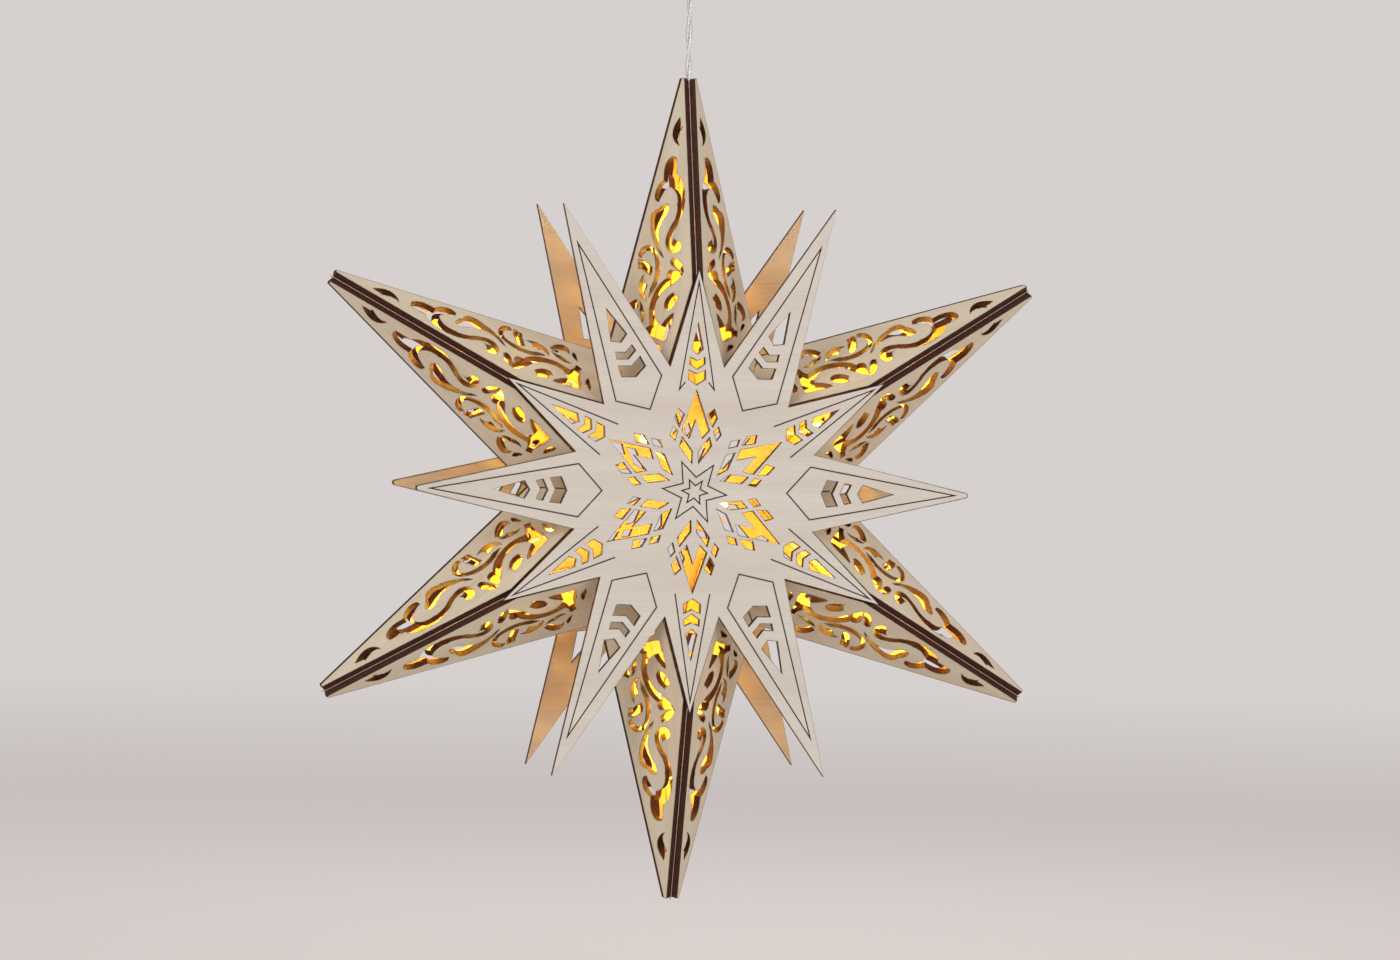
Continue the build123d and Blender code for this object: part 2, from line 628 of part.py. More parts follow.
with BuildPart() as battery_case:
    with BuildSketch(Plane.XY.offset(BOX_FLOOR)):
        RectangleRounded(BOX_WIDTH, BOX_DEPTH, BOX_CORNER)
    extrude(amount=BOX_HEIGHT)
    # the hollow for the cells, the bay for the switch and the cover's slot
    with Locations((0, lip_back + cavity_depth / 2, BOX_FLOOR + BOX_WALL)):
        Box(
            inner_width,
            cavity_depth,
            shelf - BOX_FLOOR - BOX_WALL,
            align=(Align.CENTER, Align.CENTER, Align.MIN),
            mode=Mode.SUBTRACT,
        )
    with Locations((0, lip_back + cavity_depth / 2, BOX_TOP - BOX_WALL)):
        Box(
            inner_width,
            cavity_depth,
            BOX_TOP - 2 * BOX_WALL - shelf,
            align=(Align.CENTER, Align.CENTER, Align.MAX),
            mode=Mode.SUBTRACT,
        )
    with Locations((0, (lip_back + slot_back) / 2, BOX_FLOOR)):
        Box(
            inner_width,
            slot_back - lip_back,
            BOX_HEIGHT - BOX_WALL,
            align=(Align.CENTER, Align.CENTER, Align.MIN),
            mode=Mode.SUBTRACT,
        )
    with Locations((0, front, BOX_FLOOR)):
        Box(
            inner_width - 2 * COVER_LIP,
            2 * (lip_back - front),
            BOX_HEIGHT - 2 * BOX_WALL,
            align=(Align.CENTER, Align.CENTER, Align.MIN),
            mode=Mode.SUBTRACT,
        )
    # the switch knob's slot in the right wall, and the wire's hole in the floor
    with Locations((BOX_WIDTH / 2, switch_y, switch_centre)):
        Box(
            4 * BOX_WALL,
            KNOB_WIDTH + 2 * KNOB_CLEARANCE,
            KNOB_LENGTH + SWITCH_TRAVEL + 2 * KNOB_CLEARANCE,
            mode=Mode.SUBTRACT,
        )
    with Locations((0, 0, BOX_FLOOR)):
        Cylinder(LEAD_DIAMETER / 2, 4 * BOX_WALL, mode=Mode.SUBTRACT)
    # the hanging eye
    with BuildSketch(Plane.XZ.offset(-EYE_THICKNESS / 2)):
        with BuildLine():
            eye_radius = EYE_HOLE_DIAMETER / 2 + EYE_RIM
            cap = CenterArc((0, 0), eye_radius, 0, 180)
            foot = eye_radius + EYE_FLARE
            Polyline(cap @ 1, (-foot, BOX_TOP), (foot, BOX_TOP), cap @ 0)
        make_face()
        Circle(EYE_HOLE_DIAMETER / 2, mode=Mode.SUBTRACT)
    extrude(amount=EYE_THICKNESS)
battery_case.part.label = "battery_case"
export_step(battery_case.part, "parts/battery_case.step")

cover_height = BOX_HEIGHT - BOX_WALL - COVER_CLEARANCE
with BuildPart() as battery_cover:
    with Locations((0, (lip_back + slot_back) / 2, BOX_FLOOR)):
        Box(
            inner_width - 2 * COVER_CLEARANCE,
            COVER_THICKNESS,
            cover_height,
            align=(Align.CENTER, Align.CENTER, Align.MIN),
        )
    # grip ribs near the lower end, as high as the box's front
    with BuildSketch(Plane.XZ.offset(-lip_back - COVER_CLEARANCE)):
        for i in range(RIB_COUNT):
            with Locations((0, BOX_FLOOR + RIB_START + i * RIB_PITCH)):
                RectangleRounded(*RIB_SIZE, RIB_ROUND)
    extrude(amount=lip_back - front)
battery_cover.part.label = "battery_cover"
export_step(battery_cover.part, "parts/battery_cover.step")

cell_y = slot_back + (BOX_DEPTH / 2 - BOX_WALL - slot_back) / 2
cell_places = [(i * CELL_PITCH, cell_y) for i in (-1, 0, 1)]
with BuildPart() as battery_cells:
    for x, y in cell_places:
        with BuildSketch(Plane.XY.offset(cell_floor)):
            with Locations((x, y)):
                Circle(CELL_DIAMETER / 2)
        extrude(amount=CELL_LENGTH - NUB_LENGTH)
        with BuildSketch(Plane.XY.offset(cell_floor + CELL_LENGTH - NUB_LENGTH)):
            with Locations((x, y)):
                Circle(NUB_DIAMETER / 2)
        extrude(amount=NUB_LENGTH)
battery_cells.part.label = "battery_cells"
export_step(battery_cells.part, "parts/battery_cells.step")

with BuildPart() as cell_springs:
    for x, y in cell_places:
        with BuildSketch(Plane.XY.offset(BOX_FLOOR + BOX_WALL + CONTACT_THICKNESS)):
            with Locations((x, y)):
                Circle(SPRING_WIDE / 2)
                Circle(SPRING_WIDE / 2 - SPRING_WIRE, mode=Mode.SUBTRACT)
        with BuildSketch(Plane.XY.offset(cell_floor)):
            with Locations((x, y)):
                Circle(SPRING_NARROW / 2)
                Circle(SPRING_NARROW / 2 - SPRING_WIRE, mode=Mode.SUBTRACT)
        loft()
cell_springs.part.label = "cell_springs"
export_step(cell_springs.part, "parts/cell_springs.step")

with BuildPart() as contact_plates:
    for x, y in cell_places:
        with Locations((x, y, BOX_FLOOR + BOX_WALL + CONTACT_THICKNESS / 2)):
            Box(*CONTACT_SIZE, CONTACT_THICKNESS)
        with Locations((x, y, shelf - CELL_HEADROOM / 2)):
            Box(*CONTACT_SIZE, CELL_HEADROOM)
contact_plates.part.label = "contact_plates"
export_step(contact_plates.part, "parts/contact_plates.step")

switch_face = BOX_WIDTH / 2 - BOX_WALL - SWITCH_GAP
with BuildPart() as switch_body:
    with Locations((switch_face - SWITCH_SIZE[0] / 2, switch_y, switch_centre)):
        Box(*SWITCH_SIZE)
switch_body.part.label = "switch_body"
export_step(switch_body.part, "parts/switch_body.step")

with BuildPart() as switch_knob:
    knob_start = switch_face + KNOB_SEAT
    with Locations((knob_start, switch_y, switch_centre - SWITCH_TRAVEL / 2)):
        Box(
            BOX_WIDTH / 2 + KNOB_PROUD - knob_start,
            KNOB_WIDTH,
            KNOB_LENGTH,
            align=(Align.MIN, Align.CENTER, Align.CENTER),
        )
    outer = switch_knob.faces().sort_by(Axis.X)[-1]
    fillet(outer.edges(), KNOB_ROUND)
switch_knob.part.label = "switch_knob"
export_step(switch_knob.part, "parts/switch_knob.step")

with BuildPart() as resistor:
    with BuildSketch(Plane.YZ.offset(RESISTOR_START)):
        with Locations((switch_y, switch_centre)):
            Circle(RESISTOR_DIAMETER / 2)
    extrude(amount=RESISTOR_LENGTH)
resistor.part.label = "resistor"
export_step(resistor.part, "parts/resistor.step")

with BuildPart() as strain_relief:
    with BuildSketch(Plane.XY.offset(BOX_FLOOR)):
        Circle(RELIEF_TOP_DIAMETER / 2)
    with BuildSketch(Plane.XY.offset(RELIEF_END)):
        Circle(RELIEF_END_DIAMETER / 2)
    loft()
strain_relief.part.label = "strain_relief"
export_step(strain_relief.part, "parts/strain_relief.step")

print("star tip z:", STAR_TIP, "star centre z:", round(STAR_CENTRE.Z, 2))
print("plate back depth:", round(PLATE_BACK, 2), "knot radius:", round(knot_radius, 2))
print("panel corners:", [(round(u, 1), round(v, 1)) for u, v in panel_corners])
print("span tip to tip:", 2 * TIP_RADIUS, "side edge angle slope:", round(edge_slope, 4))
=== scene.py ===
"""The looks of a hanging plywood star lantern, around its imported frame.

Pierced plywood panels with scorched edges, engraved snowflake plates, a warm LED string
inside, and a twisted clear lead up to a battery box. Metres, +Z up, front towards -Y.
"""

import logging
import math
from dataclasses import dataclass, field
from enum import Enum

import bmesh
import bpy
import numpy as np
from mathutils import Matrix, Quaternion, Vector


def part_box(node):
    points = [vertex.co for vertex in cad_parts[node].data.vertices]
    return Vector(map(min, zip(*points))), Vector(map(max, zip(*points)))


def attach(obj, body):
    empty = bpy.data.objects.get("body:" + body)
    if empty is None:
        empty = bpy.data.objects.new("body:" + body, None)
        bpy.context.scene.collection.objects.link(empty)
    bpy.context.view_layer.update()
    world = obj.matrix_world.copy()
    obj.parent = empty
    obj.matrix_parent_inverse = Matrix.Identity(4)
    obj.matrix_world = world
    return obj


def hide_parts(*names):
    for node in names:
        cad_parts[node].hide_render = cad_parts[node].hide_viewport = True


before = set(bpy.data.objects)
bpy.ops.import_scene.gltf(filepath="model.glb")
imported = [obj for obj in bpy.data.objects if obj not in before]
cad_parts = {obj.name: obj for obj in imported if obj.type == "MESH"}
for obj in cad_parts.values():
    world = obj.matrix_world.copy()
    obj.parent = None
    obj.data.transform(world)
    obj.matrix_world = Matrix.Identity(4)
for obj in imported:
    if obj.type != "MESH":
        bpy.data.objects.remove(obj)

log = logging.getLogger("star_lantern")
MM = 0.001
SENSOR_MM = 36.0


class Body(Enum):
    """The bodies of the lantern that new pieces ride on."""

    STAR = "star"
    BOX = "battery_box"


class Spike(Enum):
    """The six spikes, by the direction that each points in, in degrees from +X."""

    TOP = 90
    UPPER_RIGHT = 30
    LOWER_RIGHT = -30
    BOTTOM = -90
    LOWER_LEFT = -150
    UPPER_LEFT = 150

    def out(self) -> np.ndarray:
        """The unit vector along the spike's axis, away from the star's centre."""
        angle = math.radians(self.value)
        return np.array((math.cos(angle), 0.0, math.sin(angle)))


class Facing(Enum):
    """The two faces of the star, with the Y direction that each looks in."""

    FRONT = -1
    BACK = 1


# ---- frame measures -----------------------------------------------------------------


def middle_of(node: str) -> np.ndarray:
    """The middle of a node's box.

    Args:
        node: The node's name.

    Returns:
        The point halfway between the box's lowest and highest corners.
    """
    low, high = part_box(node)
    return np.array((low + high) / 2)


def star_centre() -> np.ndarray:
    """The star's centre, halfway between the two snowflakes' middles."""
    return (middle_of("snowflake_front") + middle_of("snowflake_back")) / 2


def solids_of(node: str, reach: float) -> list[np.ndarray]:
    """Sorts a group node's vertices into its separate solids.

    Args:
        node: The node's name.
        reach: A distance that is longer than a solid and shorter than any gap between two.

    Returns:
        One array of points for each solid.
    """
    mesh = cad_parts[node].data
    points = np.empty(len(mesh.vertices) * 3)
    mesh.vertices.foreach_get("co", points)
    points = points.reshape(-1, 3)
    groups = []
    while len(points):
        near = np.linalg.norm(points - points[0], axis=1) < reach
        groups.append(points[near])
        points = points[~near]
    return groups


# ---- meshes worked out with numpy ---------------------------------------------------


def mesh_from_grid(name: str, grid: np.ndarray, closed: bool) -> bpy.types.Mesh:
    """Makes a mesh from a grid of points; point (i, j) joins (i+1, j) and (i, j+1).

    Args:
        name: The mesh's name.
        grid: Points, of shape (rows, columns, 3).
        closed: Whether the last column joins the first.

    Returns:
        The mesh, with smooth faces and a UV map "skin" that runs 0 to 1 both ways.
    """
    rows, columns, _ = grid.shape
    i = np.arange(rows - 1)
    j = np.arange(columns if closed else columns - 1)
    i, j = (a.ravel() for a in np.meshgrid(i, j, indexing="ij"))
    corner = [(i, j), (i + 1, j), (i + 1, j + 1), (i, j + 1)]
    quads = np.stack([a * columns + b % columns for a, b in corner], axis=1)
    mesh = bpy.data.meshes.new(name)
    mesh.from_pydata(grid.reshape(-1, 3).tolist(), [], quads.tolist())
    skin = np.stack([np.stack((a / rows, b / columns), axis=1) for a, b in corner], axis=1)
    layer = mesh.uv_layers.new(name="skin")
    layer.data.foreach_set("uv", skin.reshape(-1).astype(np.float32))
    mesh.shade_smooth()
    return mesh


def close_ends(mesh: bpy.types.Mesh) -> bpy.types.Mesh:
    """Fills a mesh's open ends and turns its faces outwards.

    Args:
        mesh: A tube or lathe mesh with open ends.

    Returns:
        The same mesh, closed.
    """
    shape = bmesh.new()
    shape.from_mesh(mesh)
    bmesh.ops.remove_doubles(shape, verts=shape.verts, dist=1e-7)
    bmesh.ops.holes_fill(shape, edges=shape.edges, sides=0)
    bmesh.ops.recalc_face_normals(shape, faces=shape.faces)
    shape.to_mesh(mesh)
    shape.free()
    return mesh


def frames_along(path: np.ndarray) -> tuple[np.ndarray, np.ndarray]:
    """Two unit vectors square to a path at each of its points.

    Args:
        path: Points in order, of shape (n, 3).

    Returns:
        The first side, which is as square as possible to a fixed odd direction, and the
        second, square to both it and the path.
    """
    tangent = np.gradient(path, axis=0)
    tangent /= np.linalg.norm(tangent, axis=1, keepdims=True)
    lead = np.array((0.31, -0.94, 0.13))
    first = lead - tangent * (tangent @ lead)[:, None]
    first /= np.linalg.norm(first, axis=1, keepdims=True)
    return first, np.cross(tangent, first)


def tube(name: str, path: np.ndarray, radius: float, sides: int = 12) -> bpy.types.Mesh:
    """A round tube: each point of the path, plus a circle of the radius square to the path.

    Args:
        name: The mesh's name.
        path: Points in order, of shape (n, 3).
        radius: The tube's radius.
        sides: Points round the circle.

    Returns:
        The closed mesh.
    """
    first, second = frames_along(path)
    turn = np.linspace(0, 2 * math.pi, sides, endpoint=False)[None, :, None]
    grid = path[:, None] + radius * (np.cos(turn) * first[:, None] + np.sin(turn) * second[:, None])
    return close_ends(mesh_from_grid(name, grid, True))


def lathe(name: str, profile: np.ndarray, centre: np.ndarray, sides: int = 40) -> bpy.types.Mesh:
    """Turns a profile round the vertical: (r, z) becomes (r cos a, r sin a, z) about centre.

    Args:
        name: The mesh's name.
        profile: Points (radius, height), of shape (n, 2).
        centre: What the heights and the circle are measured from.
        sides: Points round each circle.

    Returns:
        The closed mesh.
    """
    turn = np.linspace(0, 2 * math.pi, sides, endpoint=False)
    around = np.stack((np.cos(turn), np.sin(turn)), axis=1)
    grid = np.empty((len(profile), sides, 3))
    grid[..., :2] = profile[:, None, :1] * around[None]
    grid[..., 2] = profile[:, 1:]
    return close_ends(mesh_from_grid(name, grid + centre, True))


def join(name: str, meshes: list[bpy.types.Mesh]) -> bpy.types.Mesh:
    """Puts several meshes into one.

    Args:
        name: The new mesh's name.
        meshes: The meshes, which are removed.

    Returns:
        The joined mesh.
    """
    whole = bmesh.new()
    for mesh in meshes:
        whole.from_mesh(mesh)
        bpy.data.meshes.remove(mesh)
    joined = bpy.data.meshes.new(name)
    whole.to_mesh(joined)
    whole.free()
    joined.shade_smooth()
    return joined


def place(mesh: bpy.types.Mesh, name: str, body: Body, finish: bpy.types.Material,
          replaces: tuple[str, ...] = ()) -> bpy.types.Object:
    """Shows a mesh as a piece of the lantern.

    Args:
        mesh: The piece's mesh, in the lantern's frame.
        name: The piece's name.
        body: What it moves with.
        finish: Its material.
        replaces: The nodes it stands for.

    Returns:
        The new object.
    """
    piece = bpy.data.objects.new(name, mesh)
    bpy.context.collection.objects.link(piece)
    mesh.materials.clear()
    mesh.materials.append(finish)
    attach(piece, body.value)
    if replaces:
        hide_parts(*replaces)
    log.info("%s: %d faces", name, len(mesh.polygons))
    return piece


# ---- finishes -----------------------------------------------------------------------


class Recipe:
    """A node material under construction, with one Principled shader."""

    def __init__(self, name: str) -> None:
        """Starts an empty material of that name."""
        self.material = bpy.data.materials.new(name)
        self.material.use_nodes = True
        self.tree = self.material.node_tree
        self.tree.nodes.clear()
        output = self.tree.nodes.new("ShaderNodeOutputMaterial")
        self.shader = self.tree.nodes.new("ShaderNodeBsdfPrincipled")
        self.tree.links.new(self.shader.outputs[0], output.inputs["Surface"])

    def shade(self, **values: object) -> None:
        """Sets the shader's sockets, such as Base_Color, to constants or links outputs in.

        Args:
            values: Socket names with _ for spaces, each with a value or an output.
        """
        for name, value in values.items():
            self.feed(self.shader.inputs[name.replace("_", " ")], value)

    def feed(self, socket: bpy.types.NodeSocket, value: object) -> None:
        """Links an output into a socket, or sets the socket's own value."""
        if isinstance(value, bpy.types.NodeSocket):
            self.tree.links.new(value, socket)
        elif hasattr(socket.default_value, "__len__") and len(socket.default_value) == 4:
            socket.default_value = (*value[:3], 1.0)
        else:
            socket.default_value = value

    def add(self, kind: str, inputs: dict | None = None, **settings: object) -> bpy.types.Node:
        """Adds a node.

        Args:
            kind: The node's type, without "ShaderNode".
            inputs: Socket names or indices, each with a value or an output.
            settings: Properties of the node.

        Returns:
            The node.
        """
        node = self.tree.nodes.new("ShaderNode" + kind)
        for name, value in settings.items():
            setattr(node, name, value)
        for key, value in (inputs or {}).items():
            self.feed(node.inputs[key], value)
        return node

    def coordinates(self, scale: tuple[float, float, float], uv: str | None = None) -> bpy.types.NodeSocket:
        """Object coordinates, or a UV map's, scaled.

        Args:
            scale: What each coordinate is multiplied by.
            uv: The UV map's name, or None for Object coordinates.

        Returns:
            The vector output.
        """
        if uv:
            source = self.add("UVMap", uv_map=uv).outputs["UV"]
        else:
            source = self.add("TexCoord").outputs["Object"]
        return self.add("Mapping", {"Vector": source, "Scale": scale}).outputs["Vector"]

    def noise(self, vector: bpy.types.NodeSocket, scale: float, detail: float = 4.0,
              roughness: float = 0.55) -> bpy.types.NodeSocket:
        """A noise texture's factor at that vector."""
        inputs = {"Vector": vector, "Scale": scale, "Detail": detail, "Roughness": roughness}
        return self.add("TexNoise", inputs).outputs["Fac"]

    def spread(self, value: bpy.types.NodeSocket, low: float, high: float, start: float = 0.0,
               end: float = 1.0) -> bpy.types.NodeSocket:
        """Maps low..high to start..end, clamped."""
        inputs = {0: value, 1: low, 2: high, 3: start, 4: end}
        return self.add("MapRange", inputs).outputs[0]

    def mix(self, share: object, first: object, second: object) -> bpy.types.NodeSocket:
        """Mixes two colours by a share of the second."""
        node = self.add("Mix", data_type="RGBA")
        self.feed(node.inputs[0], share)
        self.feed(node.inputs[6], first)
        self.feed(node.inputs[7], second)
        return node.outputs[2]

    def sum(self, first: object, second: object, how: str = "MULTIPLY") -> bpy.types.NodeSocket:
        """Works out a Math node of two values."""
        return self.add("Math", {0: first, 1: second}, operation=how).outputs[0]

    def attribute(self, name: str) -> bpy.types.NodeSocket:
        """A float attribute of the mesh."""
        return self.add("Attribute", attribute_name=name).outputs["Fac"]

    def bump(self, height: bpy.types.NodeSocket, strength: float, distance: float) -> bpy.types.NodeSocket:
        """A normal from a height, with the distance in metres."""
        return self.add("Bump", {"Height": height, "Strength": strength, "Distance": distance}).outputs[0]


@dataclass(frozen=True)
class Plywood:
    """Laser-cut plywood: pale grain on the sheet, char on the cut edges, soot beside them, and a painted
    glow and shade colour on the inner faces.
    """

    name: str
    pale: tuple[float, float, float]
    warm: tuple[float, float, float]
    streak: tuple[float, float, float]
    # Colour of the inner faces: painted light, standing for the LEDs' warm glow and the shade inside the
    # star, not the wood's own colour.
    lining: tuple[float, float, float]
    char: tuple[float, float, float] = (0.018, 0.006, 0.003)
    scorch: tuple[float, float, float] = (0.11, 0.030, 0.010)
    soot: tuple[float, float, float] = (0.022, 0.010, 0.006)

    def make(self) -> bpy.types.Material:
        """Builds the material.

        The sheet's colour runs between pale and warm in broad bands along the grain, with
        fine streaks and short pores. The UV map "sheet" is in metres, with U along the
        grain. The attributes are cut (1 on burnt edges and engraved lines), soot (1 at a
        cut, less at an engraved line, 0 off both), layer (0 to 1 through the sheet) and
        the inner-face mask (1 on inner faces). On the inner faces the sheet's colour gives way
        to a painted glow and shade colour: the warm light of the LEDs and the shade inside
        the star, painted on.

        Returns:
            The material.
        """
        recipe = Recipe(self.name)
        bands = recipe.noise(recipe.coordinates((5.0, 70.0, 1.0), "sheet"), 1.0, 3.0)
        grain = recipe.noise(recipe.coordinates((30.0, 1100.0, 1.0), "sheet"), 1.0, 5.0, 0.65)
        pores = recipe.noise(recipe.coordinates((320.0, 3800.0, 1.0), "sheet"), 1.0, 2.0)
        cloud = recipe.noise(recipe.coordinates((16.0, 22.0, 1.0), "sheet"), 1.0, 2.0)
        sheet = recipe.mix(recipe.spread(bands, 0.35, 0.68), self.pale, self.warm)
        sheet = recipe.mix(recipe.spread(grain, 0.48, 0.80, 0.0, 0.55), sheet, self.streak)
        sheet = recipe.mix(recipe.spread(pores, 0.66, 0.80, 0.0, 0.45), sheet, self.streak)
        sheet = recipe.mix(recipe.spread(cloud, 0.40, 0.75, 0.0, 0.25), sheet, self.warm)
        # Inner faces: the painted glow and shade colour, with the bands and streaks of the grain, in place
        # of the sheet's colour.
        inner = recipe.mix(recipe.spread(bands, 0.35, 0.68, 0.0, 0.5), self.lining, self.streak)
        inner = recipe.mix(recipe.spread(grain, 0.42, 0.72, 0.0, 0.55), inner, self.streak)
        sheet = recipe.mix(recipe.attribute("lining"), sheet, inner)
        smoke = recipe.noise(recipe.coordinates((1.0, 1.0, 1.0)), 420.0)
        patch = recipe.spread(smoke, 0.3, 0.7, 0.75, 1.4)
        soot = {0: recipe.attribute("soot"), 1: patch}
        halo = recipe.add("Math", soot, operation="MULTIPLY", use_clamp=True)
        sheet = recipe.mix(halo.outputs[0], sheet, self.soot)
        plies = recipe.sum(recipe.sum(recipe.attribute("layer"), 3.0 * 2 * math.pi), 0.0, "SINE")
        flecks = recipe.noise(recipe.coordinates((1.0, 1.0, 1.0)), 900.0, 4.0, 0.7)
        ply_lines = recipe.spread(plies, -1.0, 1.0, 0.0, 0.45)
        burn = recipe.sum(ply_lines, recipe.spread(flecks, 0.35, 0.7), "ADD")
        edge = recipe.mix(recipe.spread(burn, 0.3, 1.4), self.char, self.scorch)
        colour = recipe.mix(recipe.attribute("cut"), sheet, edge)
        recipe.shade(
            Base_Color=colour,
            Roughness=recipe.spread(grain, 0.2, 0.9, 0.55, 0.8),
            Specular_IOR_Level=0.3,
            Normal=recipe.bump(grain, 0.25, 0.15 * MM),
        )
        return recipe.material


@dataclass(frozen=True)
class Moulded:
    """Moulded plastic with a fine spark-eroded texture and faint marks."""

    name: str
    colour: tuple[float, float, float]
    roughness: float = 0.45

    def make(self) -> bpy.types.Material:
        """Builds the material: a fine dimpled bump, and gloss that varies in soft patches."""
        recipe = Recipe(self.name)
        grit = recipe.noise(recipe.coordinates((1.0, 1.0, 1.0)), 2600.0, 3.0)
        wear = recipe.noise(recipe.coordinates((1.0, 1.0, 1.0)), 60.0, 3.0)
        worn = tuple(channel * 0.93 for channel in self.colour)
        recipe.shade(
            Base_Color=recipe.mix(recipe.spread(wear, 0.4, 0.7), self.colour, worn),
            Roughness=recipe.spread(wear, 0.3, 0.7, self.roughness - 0.07, self.roughness + 0.1),
            Normal=recipe.bump(grit, 0.35, 0.08 * MM),
        )
        return recipe.material


@dataclass(frozen=True)
class Clear:
    """Clear soft plastic: partly see-through, glossy, with faint milky patches."""

    name: str
    tint: tuple[float, float, float]
    roughness: float = 0.12
    clearness: float = 0.75

    def make(self) -> bpy.types.Material:
        """Builds the material: a see-through shader whose roughness varies in patches."""
        recipe = Recipe(self.name)
        haze = recipe.noise(recipe.coordinates((1.0, 1.0, 1.0)), 350.0, 3.0)
        milky = tuple(0.85 * channel + 0.12 for channel in self.tint)
        recipe.shade(
            Base_Color=recipe.mix(recipe.spread(haze, 0.35, 0.7), self.tint, milky),
            Roughness=recipe.spread(haze, 0.3, 0.75, self.roughness, self.roughness + 0.15),
            Transmission_Weight=self.clearness,
            IOR=1.45,
            Normal=recipe.bump(haze, 0.1, 0.1 * MM),
        )
        return recipe.material


@dataclass(frozen=True)
class Metal:
    """Bright plated or drawn metal with fine scratches."""

    name: str
    colour: tuple[float, float, float]
    roughness: float = 0.22

    def make(self) -> bpy.types.Material:
        """Builds the material: scratches are noise stretched along one direction."""
        recipe = Recipe(self.name)
        scratch = recipe.noise(recipe.coordinates((300.0, 300.0, 4000.0)), 1.0, 3.0)
        dull = tuple(channel * 0.82 for channel in self.colour)
        recipe.shade(
            Base_Color=recipe.mix(recipe.spread(scratch, 0.4, 0.7), self.colour, dull),
            Metallic=1.0,
            Roughness=recipe.spread(scratch, 0.3, 0.7, self.roughness, self.roughness + 0.2),
            Normal=recipe.bump(scratch, 0.15, 0.03 * MM),
        )
        return recipe.material


@dataclass(frozen=True)
class LedGlow:
    """A lit warm white LED, whose colour varies a little towards amber."""

    name: str
    core: tuple[float, float, float] = (1.0, 0.66, 0.22)
    rim: tuple[float, float, float] = (1.0, 0.50, 0.10)
    strength: float = 3.0

    def make(self) -> bpy.types.Material:
        """Builds the material: the glow's colour varies in soft patches over the lens."""
        recipe = Recipe(self.name)
        swirl = recipe.noise(recipe.coordinates((1.0, 1.0, 1.0)), 300.0, 2.0)
        recipe.shade(
            Base_Color=self.core,
            Roughness=0.15,
            Emission_Color=recipe.mix(recipe.spread(swirl, 0.4, 0.65), self.core, self.rim),
            Emission_Strength=self.strength,
        )
        return recipe.material


@dataclass(frozen=True)
class CellWrap:
    """A plain battery: a dark sleeve with a copper-coloured band at its top."""

    name: str
    sleeve: tuple[float, float, float] = (0.03, 0.045, 0.06)
    band: tuple[float, float, float] = (0.62, 0.42, 0.16)
    top: float = 0.0
    bottom: float = 0.0

    def make(self) -> bpy.types.Material:
        """Builds the material: bands by height, the upper three tenths copper-coloured."""
        recipe = Recipe(self.name)
        point = recipe.add("TexCoord").outputs["Object"]
        height = recipe.add("SeparateXYZ", {"Vector": point}).outputs["Z"]
        share = recipe.spread(height, self.bottom, self.top)
        upper = recipe.sum(share, 0.70, "GREATER_THAN")
        scuff = recipe.noise(recipe.coordinates((1.0, 1.0, 1.0)), 500.0, 4.0)
        recipe.shade(
            Base_Color=recipe.mix(upper, self.sleeve, self.band),
            Metallic=recipe.sum(upper, 0.8),
            Roughness=recipe.spread(scuff, 0.3, 0.8, 0.2, 0.4),
            Coat_Weight=0.4,
        )
        return recipe.material


@dataclass(frozen=True)
class StudioFloor:
    """A pale matt floor that fades out far from the lantern."""

    name: str
    colour: tuple[float, float, float]
    solid_to: float
    gone_at: float

    def make(self) -> bpy.types.Material:
        """Builds the material: see-through beyond a distance from the floor's middle."""
        recipe = Recipe(self.name)
        point = recipe.add("TexCoord").outputs["Object"]
        flat = recipe.add("VectorMath", {0: point, 1: (1.0, 1.0, 0.0)}, operation="MULTIPLY")
        distance = recipe.add("VectorMath", {0: flat.outputs[0]}, operation="LENGTH").outputs["Value"]
        recipe.shade(
            Base_Color=self.colour,
            Roughness=0.9,
            Specular_IOR_Level=0.1,
            Alpha=recipe.spread(distance, self.solid_to, self.gone_at, 1.0, 0.0),
        )
        return recipe.material


# ---- camera, light and floor --------------------------------------------------------


